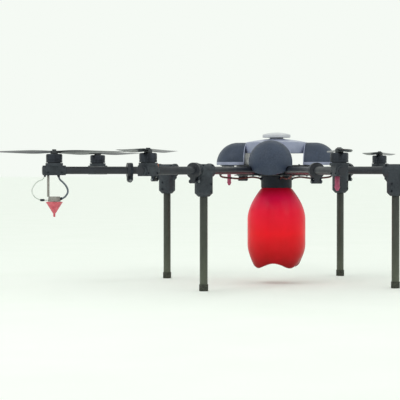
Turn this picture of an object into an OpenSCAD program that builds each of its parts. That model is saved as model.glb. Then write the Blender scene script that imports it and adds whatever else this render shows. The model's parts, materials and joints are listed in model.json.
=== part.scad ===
// Eight-arm crop-spraying multirotor with a red tank, four legs and folding arms.
// Origin on the ground under the hub's axis, +Z up, nose towards -Y.
// Arms are numbered anticlockwise from the right-hand front one. Even arms carry a leg.

/* [Airframe] */
// Distance from the hub's axis to each motor's axis
motor_radius = 840; // [760:5:1000]
// Distance from the hub's axis to each leg
leg_radius = 500; // [420:5:505]
// Distance from the hub's axis to each arm's fold joint
fold_radius = 560; // [560:5:600]
// Height of the arms' axis above the ground
arm_height = 425; // [425:5:520]
// Outer diameter of the arm tubes
tube_d = 28; // [24:1:32]
// Wall of the arm and leg tubes
tube_wall = 1.5; // [1:0.5:3]
// Outer diameter of the leg tubes
leg_d = 28; // [22:1:32]
// Half the distance between opposite flats of the hub plates
plate_apothem = 150; // [146:1:158]
// Thickness of each hub plate
plate_t = 3; // [2:0.5:5]

/* [Rotors] */
// Diameter of the propellers
prop_d = 560; // [460:5:580]
// Widest chord of a blade
blade_chord = 48; // [36:1:56]
// Outer diameter of the motor bells
bell_d = 60; // [50:1:66]
// Height of the motor bells
bell_h = 32; // [26:1:40]
// Diameter of the motor shafts
shaft_d = 8; // [6:1:10]

/* [Fold joints] */
// Diameter of the fold flanges
flange_d = 56; // [52:1:64]
// Thickness of each fold flange
flange_t = 10; // [8:1:14]
// Diameter of the fold pins
pin_d = 6; // [5:1:8]
// Thickness of each ear on the inner half
ear_t = 8; // [6:1:10]
// Width of the lug on the outer half
lug_w = 19.4; // [16:0.2:22]

/* [Cowling] */
// Radius of the round side caps and of the nose pod
cap_r = 81; // [74:1:84]
// Distance from the hub's axis to the tip of each cap
cap_reach = 228; // [222:1:245]
// Distance from the hub's axis to the caps' inner edge
cap_inner = 114; // [108:1:120]
// Thickness of the moulded cowling
cowl_wall = 3; // [2:0.5:4]
// Height of the cowling's deck above the arm axis, at its lower edge
deck_low = 64; // [60:1:70]
// Height of the deck's crown above the arm axis
deck_top = 118; // [114:1:128]
// Diameter of the satellite antenna
antenna_d = 105; // [70:1:110]

/* [Tank] */
// Outer diameter of the tank at its widest
tank_d = 219; // [190:1:240]
// Height of the tank's body
tank_h = 286; // [250:2:300]
// Wall of the tank
tank_wall = 3; // [2:0.5:5]
// Inner diameter of the collar that the tank's neck slides in
collar_d = 108; // [100:1:110]
// Outer diameter of the filler neck
filler_d = 54; // [44:1:60]

/* [Sprayers] */
// Diameter of the spinning spray cups
cup_d = 62; // [50:1:70]
// Height of the cone of a spray cup
cup_h = 42; // [34:1:50]
// Outer diameter of the liquid hoses
hose_d = 7; // [6:0.5:9]
// Outer diameter of the sprayer's motor cable
cable_d = 4; // [3:0.5:5]

/* [Hidden] */
$fn = 64;
hull_fn = 32;
arm_count = 8;
arm_step = 360 / arm_count;
arms = [1:arm_count];
leg_arms = [2, 4, 6, 8];
spray_right = 1;
spray_left = 5;
nozzle_rear = 3;
nozzle_front = 7;
front_arms = [6, 7];
blade_angles = [10, 84, 100, 64];

press = 0.05;            // radial play of pieces that are fastened together
running = 0.05;          // radial play of pins and shafts that turn
clear = 0.3;             // play between pieces that move past each other
tube_r = tube_d / 2;
tube_bore = tube_r - tube_wall;

plate_gap = tube_d + 6;  // space between the two hub plates
plate_top = plate_gap / 2 + plate_t;
tube_start = 70;
clamp_l = 18;
clamp_w = tube_d + 12;
clamp_places = [86, plate_apothem - clamp_l];
screw_d = 4;
screw_y = clamp_w / 2 - 3;
screw_x = clamp_places[1] + clamp_l / 2;
head_d = 7;
head_h = 3;
mount_hole_d = 4.2;
mount_hole_place = 90;

pin_drop = flange_d / 2 + 10;
boss_r = 7;
spigot_l = 40;
ear_gap = lug_w / 2 + clear;

socket_r = leg_d / 2 + 18;
socket_drop = 92;
socket_chamfer = 12;
sleeve_r = tube_r + 11;
sleeve_half = 42;
foot_h = 24;
foot_floor = 4;
foot_wall = 2;
leg_top = -tube_r - 4;
gusset_w = 14;
gusset_l = 22;
gusset_r = 34;

mount_half = 42;
mount_wall = 4;
mount_low = -tube_r - mount_wall;
mount_y = tube_r + 6;
seat_h = 10;
seat_r = bell_d / 2 + 2;
seat_z = tube_r + 3;
bell_z = seat_z + seat_h + 1.5;
bell_wall = 4;
bell_cap = 6;
stator_r = bell_d / 2 - bell_wall - 2;
stator_top = bell_z + bell_h - bell_cap - 2;
prop_z = bell_z + bell_h;
prop_hub_h = 12;
blade_z = 7.5;
prop_hub_r = 14;
arm_end = motor_radius + mount_half + 2;

cap_mid = cap_reach - cap_r;
tray_z = plate_top;
tray_h = 11;
cap_z = tray_z + tray_h;
cap_centre = 23;
pod_centre = 30;
pod_floor = 17;
pod_belly_r = 147;
deck_r = cap_inner + cowl_wall;
deck_rim = 104;
crown_rise = deck_top - deck_rim;
crown_r = (deck_r * deck_r + crown_rise * crown_rise) / (2 * crown_rise);
pad_r = 30;
pad_z = deck_top + 1;
antenna_z = pad_z + 4;
antenna_h = 19;
antenna_crown_r = 180;
controller_size = [60, 46, 16];
controller_lid = [48, 38, 4];
controller_y = -102;

collar_r = collar_d / 2 + 4;
collar_low = -66;
collar_top = -plate_top;
neck_r = collar_d / 2 - running;
neck_bore = neck_r - tank_wall - 1;
tank_top = collar_low - clear;
tank_low = tank_top - tank_h;
foot_ring = 0.56 * tank_d / 2;
foot_ball = 19;
foot_sink = 7;
filler_tilt = 30;
filler_z = tank_top - 88;
filler_start = tank_d / 2 - 30;
filler_l = 64;
cap_skirt = 16;
cap_lid = 4;
cap_wall = 4;
cap_rib_r = 1.6;
cap_ribs = 12;
pump_r = 32;
pump_drop = 40;
pump_rim = 6;

battery_size = [94 - tube_d, 165, 66];  // fits between the clamp screws
battery_plug = [28, 10, 14];
plug_drop = 10;
battery_y = -14;
battery_z = plate_top + clear;

cup_z = -115;
atom_h = 15;
atom_r = 24;
rod_x = 22;
rod_r = 4.5;
cup_shaft_r = 2.5;
cup_bore_l = 12;
tip_r = 4;
tip_l = 14;
nozzle_r = 8;
nozzle_l = 34;
nozzle_tip = 14;
nozzle_x = 24;

// Routes: [distance along the arm from the motor's axis or from the hub, sideways, height]
feed_route = [[-16, 0, mount_low - 2], [-20, 0, -32], [-34, 0, -46], [-46, 0, -62], [-50, 0, -78],
              [-44, 0, -92], [-34, 0, -101], [-25, 0, -104]];
cable_route = [[34, 0, mount_low - 2], [42, 0, -32], [62, 0, -42], [76, 0, -58], [82, 0, -74],
               [76, 0, -92], [62, 0, -104], [44, 0, -109], [25, 0, -109]];
hose_route = [[collar_r + 1, 0, -32], [74, 0, -28], [96, 0, -26], [122, 0, -29], [150, 0, -31],
              [176, 0, -29], [198, 0, -27], [211, 0, -tube_r - 10], [216, 0, -tube_r - 6],
              [216, 0, -tube_r - 0.8]];

airframe_nodes = ["inner_arm_tubes", "leg_sockets", "fold_brackets", "hinge_pins", "leg_tubes",
    "leg_feet", "arm_root_clamps", "hub_plates", "hub_screws", "top_shell", "nose_pod",
    "side_caps", "gnss_antenna", "flight_controller", "tank_collar", "pump", "hub_hoses"];
own_nodes = ["battery", "tank", "tank_cap", "left_atomiser", "right_atomiser",
    "left_spray_cup", "right_spray_cup", "left_feed_hose", "right_feed_hose",
    "front_nozzle", "rear_nozzle"];

carbon = "#3d4348";
moulding = "#3c404c";
pale = "#b4b8c8";
red = "#dc1e2d";

function arm_angle(k) = arm_step * (k - 0.5);

// Places its children on arm k: X outwards along the arm, Z up, origin on the arm's axis
module on_arm(k, r = 0) {
    rotate([0, 0, arm_angle(k)]) translate([r, 0, arm_height]) children();
}

module at_hub(z = 0) {
    translate([0, 0, arm_height + z]) children();
}

module along_x(r, length) {
    rotate([0, 90, 0]) cylinder(r = r, h = length);
}

module along_y(r, length) {
    rotate([-90, 0, 0]) cylinder(r = r, h = length);
}

module pin_across(r, width) {
    translate([0, -width / 2, -pin_drop]) along_y(r, width);
}

// A round hose swept along a route of points that lie in the arm's upright plane
function route_dir(p, i) =
    let (a = p[max(i - 1, 0)], b = p[min(i + 1, len(p) - 1)]) (b - a) / norm(b - a);
function hose_ring(p, i, r, sides) =
    let (d = route_dir(p, i), n = [-d[2], 0, d[0]])
    [for (s = [0:sides - 1]) p[i] + r * (cos(360 * s / sides) * n + sin(360 * s / sides) * [0, 1, 0])];
module hose(p, r, sides) {
    points = [for (i = [0:len(p) - 1]) each hose_ring(p, i, r, sides)];
    last = (len(p) - 1) * sides;
    walls = [for (i = [0:len(p) - 2], s = [0:sides - 1])
        let (t = (s + 1) % sides) [i * sides + s, i * sides + t, (i + 1) * sides + t, (i + 1) * sides + s]];
    ends = [[for (s = [sides - 1:-1:0]) s], [for (s = [0:sides - 1]) last + s]];
    polyhedron(points, concat(walls, ends));
}

// Arms and legs
module inner_arm_tubes() {
    color(carbon) for (k = arms) on_arm(k, tube_start) difference() {
        along_x(tube_r, fold_radius - flange_t - tube_start);
        translate([-1, 0, 0]) along_x(tube_bore, fold_radius - tube_start);
    }
}

module gusset() {
    rotate([90, 0, 0]) linear_extrude(gusset_w, center = true) difference() {
        polygon([[0, 0], [gusset_l + socket_r, 0], [gusset_l + socket_r, -sleeve_r + 3],
            [socket_r - 4, -socket_drop + socket_chamfer + 10], [0, -socket_drop + socket_chamfer + 10]]);
        translate([socket_r + gusset_l + 8, -sleeve_r - gusset_r]) circle(r = gusset_r);
    }
}

module leg_socket() {
    difference() {
        union() {
            translate([-sleeve_half, 0, 0]) along_x(sleeve_r, 2 * sleeve_half);
            translate([0, 0, socket_chamfer - socket_drop])
                cylinder(r = socket_r, h = socket_drop - socket_chamfer);
            translate([0, 0, -socket_drop])
                cylinder(r1 = socket_r - socket_chamfer, r2 = socket_r, h = socket_chamfer);
            intersection() {
                translate([-sleeve_half, -sleeve_r, -socket_drop])
                    cube([2 * sleeve_half, 2 * sleeve_r, socket_drop]);
                union() {
                    gusset();
                    mirror([1, 0, 0]) gusset();
                }
            }
        }
        translate([-sleeve_half - 1, 0, 0]) along_x(tube_r + press, 2 * sleeve_half + 2);
        translate([0, 0, -socket_drop - 1]) cylinder(r = leg_d / 2 + press, h = socket_drop + 1 + leg_top);
        translate([-socket_r, -sleeve_r, sleeve_r - 2]) cube([2 * socket_r, 2 * sleeve_r, sleeve_r]);
    }
}

module leg_sockets() {
    color(moulding) for (k = leg_arms) on_arm(k, leg_radius) leg_socket();
}

module leg_tubes() {
    color("#4c524b") for (k = leg_arms) on_arm(k, leg_radius) difference() {
        translate([0, 0, foot_floor - arm_height]) cylinder(d = leg_d, h = arm_height - foot_floor + leg_top);
        translate([0, 0, -arm_height]) cylinder(d = leg_d - 2 * tube_wall, h = arm_height);
    }
}

module leg_feet() {
    color("#3a3d3a") for (k = leg_arms) on_arm(k, leg_radius) translate([0, 0, -arm_height]) difference() {
        cylinder(r = leg_d / 2 + foot_wall, h = foot_h);
        translate([0, 0, foot_floor]) cylinder(r = leg_d / 2 + press, h = foot_h);
    }
}

// Fold joints
module fold_bracket() {
    difference() {
        union() {
            translate([-flange_t, 0, 0]) along_x(flange_d / 2, flange_t - clear / 2);
            translate([-flange_t - spigot_l, 0, 0]) along_x(tube_bore - press, spigot_l + 1);
            for (side = [-1, 1]) translate([0, side * (ear_gap + ear_t / 2), 0]) {
                translate([-flange_t, -ear_t / 2, -pin_drop]) cube([flange_t - clear / 2, ear_t, 18]);
                pin_across(boss_r, ear_t);
            }
        }
        pin_across(pin_d / 2 + running, 3 * flange_d);
    }
}

module fold_brackets() {
    color("#30343c") for (k = arms) on_arm(k, fold_radius) fold_bracket();
}

module hinge_pins() {
    pin_l = 2 * (ear_gap + ear_t) + 1;
    color("#a8acb0") for (k = arms) on_arm(k, fold_radius) {
        pin_across(pin_d / 2, pin_l);
        for (side = [0, 1]) mirror([0, side, 0])
            translate([0, pin_l / 2, -pin_drop]) along_y(pin_d / 2 + 2, 2);
    }
}

module outer_arm(k) {
    out_l = arm_end - fold_radius;
    color(carbon) on_arm(k, fold_radius) difference() {
        union() {
            translate([clear / 2, 0, 0]) along_x(flange_d / 2, flange_t - clear / 2);
            translate([flange_t - 1, 0, 0]) along_x(tube_r, out_l - flange_t + 1);
            translate([clear / 2, -lug_w / 2, -pin_drop]) cube([flange_t - clear / 2, lug_w, 18]);
            pin_across(boss_r, lug_w);
        }
        translate([flange_t, 0, 0]) along_x(tube_bore, out_l - flange_t - 3);
        pin_across(pin_d / 2 + running, 2 * lug_w);
    }
}

// Rotors
module motor_mount(k) {
    color(moulding) on_arm(k, motor_radius) difference() {
        union() {
            translate([-mount_half, 0, 0]) along_x(-mount_low, 2 * mount_half);
            translate([-seat_r, -mount_y, mount_low]) cube([2 * seat_r, 2 * mount_y, seat_z - mount_low + 1]);
            translate([0, 0, seat_z]) cylinder(r = seat_r, h = seat_h);
            translate([0, 0, seat_z]) cylinder(r = stator_r, h = stator_top - seat_z);
        }
        translate([-mount_half - 1, 0, 0]) along_x(tube_r + press, 2 * mount_half + 2);
        translate([0, 0, seat_z + 2]) cylinder(r = shaft_d / 2 + running, h = stator_top);
    }
}

module motor_bell(k) {
    color("#2c2f36") on_arm(k, motor_radius) {
        difference() {
            translate([0, 0, bell_z]) cylinder(d = bell_d, h = bell_h);
            translate([0, 0, bell_z - 1]) cylinder(d = bell_d - 2 * bell_wall, h = bell_h - bell_cap + 1);
        }
        translate([0, 0, seat_z + 4]) cylinder(d = shaft_d, h = prop_z + prop_hub_h + 3 - seat_z - 4);
        translate([0, 0, prop_z + prop_hub_h]) cylinder(d = shaft_d + 8, h = 5, $fn = 6);
    }
}

blade_root = 16;
blade_sections = 14;
blade_sides = 12;
function blade_r(i) = blade_root + (prop_d / 2 - blade_root) * i / blade_sections;
function chord_at(u) =
    blade_chord * (u < 0.3 ? 0.42 + 0.58 * sin(300 * u) : 1 - 0.72 * pow((u - 0.3) / 0.7, 1.8));
function pitch_at(u) = 24 - 18 * u;
function blade_point(i, s) =
    let (u = i / blade_sections, c = chord_at(u), t = 1.6 + 4.4 * pow(1 - u, 2), a = 360 * s / blade_sides,
        y = c / 2 * cos(a) - 0.12 * c, z = t / 2 * sin(a) + 0.06 * c * pow(sin(a / 2), 2), p = pitch_at(u))
    [blade_r(i), y * cos(p) - z * sin(p), y * sin(p) + z * cos(p)];
module blade() {
    points = [for (i = [0:blade_sections], s = [0:blade_sides - 1]) blade_point(i, s)];
    last = blade_sections * blade_sides;
    walls = [for (i = [0:blade_sections - 1], s = [0:blade_sides - 1])
        let (t = (s + 1) % blade_sides, a = i * blade_sides, b = a + blade_sides)
        each [[a + s, b + t, a + t], [a + s, b + s, b + t]]];
    ends = [[for (s = [0:blade_sides - 1]) s], [for (s = [blade_sides - 1:-1:0]) last + s]];
    polyhedron(points, concat(walls, ends));
}

// Propellers on odd arms turn one way and those on even arms the other
module propeller(k) {
    turn = blade_angles[(k - 1) % 4] - arm_angle(k);
    color("#2e3134") on_arm(k, motor_radius) translate([0, 0, prop_z]) rotate([0, 0, turn]) difference() {
        union() {
            cylinder(r = prop_hub_r, h = prop_hub_h);
            for (side = [0, 180]) rotate([0, 0, side]) {
                translate([0, -prop_hub_r / 2, 1]) cube([blade_root + 6, prop_hub_r, prop_hub_h - 3]);
                translate([0, 0, blade_z]) mirror([0, k % 2, 0]) blade();
            }
        }
        translate([0, 0, -1]) cylinder(d = shaft_d + 2 * press, h = prop_hub_h + 2);
    }
}

// Hub
module plate_outline(r) {
    circle(r = r / cos(arm_step / 2), $fn = arm_count);
}

module screw_places() {
    for (k = arms, side = [-1, 1]) rotate([0, 0, arm_angle(k)])
        translate([screw_x, side * screw_y, 0]) children();
}

module hub_plate(lower) {
    difference() {
        rotate([0, 0, arm_step / 2]) linear_extrude(plate_t) plate_outline(plate_apothem);
        screw_places() translate([0, 0, -1]) cylinder(d = screw_d + 2 * press, h = plate_t + 2);
        if (lower) {
            translate([0, 0, -1]) cylinder(r = pump_r + 2, h = plate_t + 2);
            for (x = [-1, 1], y = [-1, 1]) translate([x * mount_hole_place, y * mount_hole_place, -1])
                cylinder(d = mount_hole_d, h = plate_t + 2);
        }
    }
}

module hub_plates() {
    color("#26292e") at_hub() {
        translate([0, 0, plate_gap / 2]) hub_plate(false);
        translate([0, 0, -plate_top]) hub_plate(true);
    }
}

module arm_root_clamps() {
    color(moulding) for (k = arms, x = clamp_places) on_arm(k, x) difference() {
        translate([0, -clamp_w / 2, -plate_gap / 2]) cube([clamp_l, clamp_w, plate_gap]);
        translate([-1, 0, 0]) along_x(tube_r + press, clamp_l + 2);
        if (x == clamp_places[1]) for (side = [-1, 1]) translate([clamp_l / 2, side * screw_y, -plate_gap])
            cylinder(d = screw_d + 2 * press, h = 2 * plate_gap);
    }
}

module hub_screws() {
    color("#b8bcc0") at_hub() screw_places() {
        translate([0, 0, -plate_top - 2]) cylinder(d = screw_d, h = 2 * plate_top + 3);
        difference() {
            translate([0, 0, plate_top]) cylinder(d = head_d, h = head_h);
            translate([0, 0, plate_top + 1.2]) cylinder(d = head_d - 3.5, h = head_h, $fn = 6);
        }
        translate([0, 0, -plate_top - head_h]) cylinder(d = head_d + 1, h = head_h, $fn = 6);
    }
}

// Cowling
module cap_solid(r, centre) {
    translate([cap_inner, 0, centre]) along_x(r, cap_mid - cap_inner);
    translate([cap_mid, 0, centre]) sphere(r = r);
}

module above(z, size = 1000) {
    translate([-size / 2, -size / 2, z]) cube([size, size, size]);
}

module outside(x, size = 1000) {
    translate([x, -size / 2, -size / 2]) cube(size);
}

module side_cap() {
    difference() {
        intersection() {
            cap_solid(cap_r, cap_centre);
            above(cap_z);
            outside(cap_inner);
        }
        intersection() {
            cap_solid(cap_r - cowl_wall, cap_centre);
            outside(cap_inner + cowl_wall);
        }
    }
}

module both_sides() {
    for (side = [0, 180]) rotate([0, 0, side]) children();
}

module side_caps() {
    color(moulding) at_hub() both_sides() side_cap();
}

// The nose pod is a round dome with a flatter belly, and it lets two arms through
module pod_solid(r, belly) {
    intersection() {
        rotate([0, 0, -90]) translate([cap_mid, 0, pod_centre]) sphere(r = r);
        rotate([0, 0, -90]) translate([0, 0, belly - pod_floor]) along_x(belly, cap_reach);
    }
}

module nose_pod() {
    color("#4a525e") difference() {
        at_hub() intersection() {
            pod_solid(cap_r, pod_belly_r);
            rotate([0, 0, -90]) outside(plate_apothem);
        }
        at_hub() intersection() {
            translate([0, 0, cowl_wall]) pod_solid(cap_r - cowl_wall, pod_belly_r);
            rotate([0, 0, -90]) outside(plate_apothem + cowl_wall);
        }
        for (k = front_arms) on_arm(k) along_x(tube_r + 2, cap_reach);
    }
}

module deck_solid(r, rim, top) {
    intersection() {
        translate([0, 0, deck_low - 1]) cylinder(r = r, h = top - deck_low + 2);
        translate([0, 0, top - crown_r]) sphere(r = crown_r, $fn = 256);
    }
    rotate([0, 0, -90]) translate([0, 0, cap_centre]) along_x(rim, plate_apothem);
}

module side_tray() {
    intersection() {
        union() {
            translate([cap_inner, -cap_r, tray_z]) cube([cap_mid - cap_inner, 2 * cap_r, tray_h]);
            translate([cap_mid, 0, tray_z]) cylinder(r = cap_r, h = tray_h);
        }
        outside(cap_inner);
    }
    intersection() {
        translate([cap_inner - cowl_wall, 0, cap_centre]) along_x(cap_r, cowl_wall);
        above(tray_z);
    }
}

module top_shell() {
    door_w = battery_size[0] + 14;
    color(pale) at_hub() {
        difference() {
            intersection() {
                deck_solid(deck_r, cap_r, deck_top);
                above(deck_low);
            }
            deck_solid(deck_r - cowl_wall, cap_r - cowl_wall, deck_top - cowl_wall);
            translate([-door_w / 2, 0, 0]) cube([door_w, 2 * deck_r, battery_z + battery_size[2] + 8]);
            both_sides() outside(cap_inner);
        }
        translate([0, 0, deck_top - cowl_wall]) cylinder(r = pad_r, h = pad_z - deck_top + cowl_wall);
        difference() {
            both_sides() side_tray();
            screw_places() translate([0, 0, tray_z - 1]) cylinder(d = head_d + 2, h = head_h + 2);
        }
    }
}

module gnss_antenna() {
    color("#d8dae0") at_hub(pad_z) {
        cylinder(r = pad_r - 5, h = antenna_z - pad_z + 1);
        translate([0, 0, antenna_z - pad_z]) intersection() {
            cylinder(d = antenna_d, h = antenna_h);
            translate([0, 0, antenna_h - antenna_crown_r]) sphere(r = antenna_crown_r, $fn = 128);
        }
    }
}

module flight_controller() {
    color("#24262a") at_hub(plate_top) {
        translate([-controller_size[0] / 2, controller_y, 0]) cube(controller_size);
        translate([-controller_lid[0] / 2, controller_y + 4, controller_size[2]]) cube(controller_lid);
    }
}

module battery() {
    color("#2b2f3a") at_hub(battery_z) {
        translate([-battery_size[0] / 2, battery_y, 0]) cube(battery_size);
        translate([-battery_plug[0] / 2, battery_y + battery_size[1],
            battery_size[2] - battery_plug[2] - plug_drop]) cube(battery_plug);
    }
}

// Tank
// Half-width of the tank at a share t of its height, from the shoulder (0) to the base (1)
function tank_half(t) =
    tank_d / 2 * (t < 0.42 ? 0.505 + 0.495 * pow(sin(90 * t / 0.42), 0.9)
        : t < 0.66 ? 1 : 1 - 0.30 * pow((t - 0.66) / 0.34, 2.2));
tank_steps = 24;
module tank_profile(inset) {
    polygon(concat([[0, tank_top - inset]],
        [for (i = [0:tank_steps]) [tank_half(i / tank_steps) - inset,
            tank_top - inset - (tank_h - 2 * inset) * i / tank_steps]],
        [[0, tank_low + inset]]));
}

module filler(r, from, length) {
    translate([0, 0, filler_z]) rotate([filler_tilt, 0, 0]) translate([0, from, 0]) along_y(r, length);
}

module tank() {
    color(red) at_hub() difference() {
        union() {
            rotate_extrude() tank_profile(0);
            translate([0, 0, tank_top - 2]) cylinder(r = neck_r, h = collar_top - 2 - tank_top);
            filler(filler_d / 2, filler_start - 20, filler_l + 20);
            for (k = [0:3]) rotate([0, 0, 90 * k + 45])
                translate([foot_ring, 0, tank_low + foot_sink]) sphere(r = foot_ball);
        }
        rotate_extrude() tank_profile(tank_wall);
        translate([0, 0, tank_top - 20]) cylinder(r = neck_bore, h = collar_top - tank_top + 20);
        filler(filler_d / 2 - tank_wall, filler_start - 40, filler_l + 60);
    }
}

module tank_cap() {
    start = filler_start + filler_l - cap_skirt;
    color("#1d1f24") at_hub() difference() {
        union() {
            filler(filler_d / 2 + cap_wall, start, cap_skirt + cap_lid);
            for (k = [1:cap_ribs]) translate([0, 0, filler_z]) rotate([filler_tilt, 0, 0])
                rotate([0, 360 * k / cap_ribs, 0]) translate([filler_d / 2 + cap_wall, start + 2, 0])
                    along_y(cap_rib_r, cap_skirt + cap_lid - 4);
        }
        filler(filler_d / 2 + 2 * running, start - 1, cap_skirt + 1);
    }
}

module tank_collar() {
    color("#15171f") at_hub() difference() {
        union() {
            translate([0, 0, collar_low]) cylinder(r = collar_r, h = collar_top - collar_low);
            translate([0, 0, collar_top - 4]) cylinder(r = collar_r + 10, h = 4);
        }
        translate([0, 0, collar_low - 1]) cylinder(d = collar_d, h = 100);
    }
}

module pump() {
    color("#2a2d33") at_hub() {
        translate([0, 0, -pump_drop]) cylinder(r = pump_r, h = pump_drop + plate_gap / 2 - pump_rim);
        translate([0, 0, plate_gap / 2 - pump_rim]) cylinder(r = pump_r + 8, h = pump_rim);
    }
}

module hub_hoses() {
    color("#8a3b34") for (k = [spray_right, nozzle_rear, spray_left, nozzle_front])
        on_arm(k) hose(hose_route, hose_d / 2, 8);
}

// Sprayers
module atomiser(k) {
    color("#8d8680") on_arm(k, motor_radius) {
        translate([rod_x, 0, cup_z + atom_h + 3]) cylinder(r = rod_r, h = mount_low - cup_z - atom_h - 3);
        translate([0, 0, cup_z + 1]) cylinder(r1 = atom_r, r2 = atom_r - 3, h = atom_h + 3);
        translate([0, 0, cup_z - cup_bore_l + 1]) cylinder(r = cup_shaft_r, h = cup_bore_l + 3);
    }
}

module spray_cup(k) {
    color("#c8404c") on_arm(k, motor_radius) difference() {
        union() {
            translate([0, 0, cup_z - 4]) cylinder(d = cup_d, h = 4);
            translate([0, 0, cup_z - cup_h]) cylinder(r1 = tip_r + 2, d2 = cup_d - 2, h = cup_h - 4);
            translate([0, 0, cup_z - cup_h - tip_l]) cylinder(r = tip_r, h = tip_l + 1);
        }
        translate([0, 0, cup_z - cup_bore_l]) cylinder(r = cup_shaft_r + running, h = cup_bore_l + 1);
    }
}

module feed_hose(k) {
    color("#565e63") on_arm(k, motor_radius) {
        hose(feed_route, hose_d / 2, 8);
        hose(cable_route, cable_d / 2, 8);
    }
}

module nozzle(k) {
    color("#b8283a") on_arm(k, motor_radius - nozzle_x) {
        translate([0, 0, mount_low - nozzle_l]) cylinder(r = nozzle_r, h = nozzle_l);
        translate([0, 0, mount_low - nozzle_l - nozzle_tip])
            cylinder(r1 = nozzle_r / 2, r2 = nozzle_r + 2, h = nozzle_tip);
    }
}

module left_atomiser() { atomiser(spray_left); }
module right_atomiser() { atomiser(spray_right); }
module left_spray_cup() { spray_cup(spray_left); }
module right_spray_cup() { spray_cup(spray_right); }
module left_feed_hose() { feed_hose(spray_left); }
module right_feed_hose() { feed_hose(spray_right); }
module front_nozzle() { nozzle(nozzle_front); }
module rear_nozzle() { nozzle(nozzle_rear); }

inner_arm_tubes();
leg_sockets();
fold_brackets();
hinge_pins();
leg_tubes();
leg_feet();
arm_root_clamps();
hub_plates();
hub_screws();
top_shell();
nose_pod();
side_caps();
gnss_antenna();
flight_controller();
tank_collar();
pump();
hub_hoses();
battery();
tank();
tank_cap();
left_atomiser();
right_atomiser();
left_spray_cup();
right_spray_cup();
left_feed_hose();
right_feed_hose();
front_nozzle();
rear_nozzle();
for (k = arms) {
    outer_arm(k);
    motor_mount(k);
    motor_bell(k);
    propeller(k);
}
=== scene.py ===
"""Eight-arm spraying drone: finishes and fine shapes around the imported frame, in metres."""
import json
import math

import bmesh
import bpy
from mathutils import Matrix, Vector

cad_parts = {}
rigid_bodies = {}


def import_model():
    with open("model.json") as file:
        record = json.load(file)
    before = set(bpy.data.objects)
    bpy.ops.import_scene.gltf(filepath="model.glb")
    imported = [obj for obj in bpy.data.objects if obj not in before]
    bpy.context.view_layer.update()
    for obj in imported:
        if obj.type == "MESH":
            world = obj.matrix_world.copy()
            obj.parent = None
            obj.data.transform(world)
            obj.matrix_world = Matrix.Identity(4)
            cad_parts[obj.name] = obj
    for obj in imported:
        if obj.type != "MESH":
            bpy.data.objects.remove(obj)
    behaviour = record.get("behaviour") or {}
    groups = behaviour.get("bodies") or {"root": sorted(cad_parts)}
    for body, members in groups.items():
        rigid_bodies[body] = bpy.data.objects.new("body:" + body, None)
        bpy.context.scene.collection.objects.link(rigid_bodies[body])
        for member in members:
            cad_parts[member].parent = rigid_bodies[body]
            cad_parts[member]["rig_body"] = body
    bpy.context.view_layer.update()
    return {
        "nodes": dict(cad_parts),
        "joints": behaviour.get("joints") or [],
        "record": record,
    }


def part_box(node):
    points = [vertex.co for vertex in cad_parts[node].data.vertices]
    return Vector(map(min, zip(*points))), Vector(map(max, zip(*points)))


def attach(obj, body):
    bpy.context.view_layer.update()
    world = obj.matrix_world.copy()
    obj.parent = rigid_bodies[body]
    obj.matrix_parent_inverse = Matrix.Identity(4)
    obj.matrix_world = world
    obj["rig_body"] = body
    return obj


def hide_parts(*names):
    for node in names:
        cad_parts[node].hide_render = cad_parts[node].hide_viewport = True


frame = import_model()
nodes = frame["nodes"]
joint_of = {j["name"]: j for j in frame["joints"]}
MM = 0.001

# Places that follow from the frame
ARMS = range(1, 9)
LEG_ARMS = (2, 4, 6, 8)
arm_axis_z = (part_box("inner_arm_tubes")[0].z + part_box("inner_arm_tubes")[1].z) / 2
motor_at = {k: Vector(joint_of[f"rotor_{k}_spin"]["pos_m"]) for k in ARMS}
motor_radius = Vector((motor_at[1].x, motor_at[1].y)).length
arm_turn = {k: math.atan2(motor_at[k].y, motor_at[k].x) for k in ARMS}
tank_lo, tank_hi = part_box("tank")


# ---------------------------------------------------------------- helpers

def on_arm(k, r=0.0, z=0.0):
    """Places a piece on arm k: X outwards along the arm, origin on the arm's axis."""
    turn = Matrix.Rotation(arm_turn[k], 4, "Z")
    return turn @ Matrix.Translation((r, 0, arm_axis_z + z))


def linear(code):
    """sRGB hex to a linear RGBA colour."""
    parts = [int(code[i:i + 2], 16) / 255 for i in (1, 3, 5)]
    return tuple(c / 12.92 if c <= 0.04045 else ((c + 0.055) / 1.055) ** 2.4 for c in parts) + (1.0,)


def add(tree, kind, settings=None, links=None):
    """Adds one node, sets its properties or input values, and links its inputs."""
    node = tree.nodes.new(kind)
    for name, value in (settings or {}).items():
        if isinstance(name, int) or name in node.inputs:
            node.inputs[name].default_value = value
        else:
            setattr(node, name, value)
    for name, source in (links or {}).items():
        tree.links.new(source, node.inputs[name])
    return node


def ramp(tree, source, stops):
    """Colour ramp with (position, hex or grey) stops."""
    node = add(tree, "ShaderNodeValToRGB", links={"Fac": source})
    while len(node.color_ramp.elements) < len(stops):
        node.color_ramp.elements.new(0.5)
    for element, (place, tone) in zip(node.color_ramp.elements, stops):
        element.position = place
        element.color = linear(tone) if isinstance(tone, str) else (tone, tone, tone, 1.0)
    return node.outputs["Color"]


def finish_of(name, shader, colour, rough, bump=None, bump_depth=0.0):
    """A material from its shader settings, a colour source, a roughness source and a height source."""
    mat = bpy.data.materials.new(name)
    mat.use_nodes = True
    tree = mat.node_tree
    tree.nodes.clear()
    place = add(tree, "ShaderNodeTexCoord").outputs["Object"]
    bsdf = add(tree, "ShaderNodeBsdfPrincipled", shader)
    tree.links.new(colour(tree, place), bsdf.inputs["Base Color"])
    tree.links.new(rough(tree, place), bsdf.inputs["Roughness"])
    if bump:
        height = add(tree, "ShaderNodeBump", {"Strength": 0.6, "Distance": bump_depth},
                     {"Height": bump(tree, place)})
        tree.links.new(height.outputs["Normal"], bsdf.inputs["Normal"])
    out = add(tree, "ShaderNodeOutputMaterial")
    tree.links.new(bsdf.outputs["BSDF"], out.inputs["Surface"])
    return mat


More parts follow.
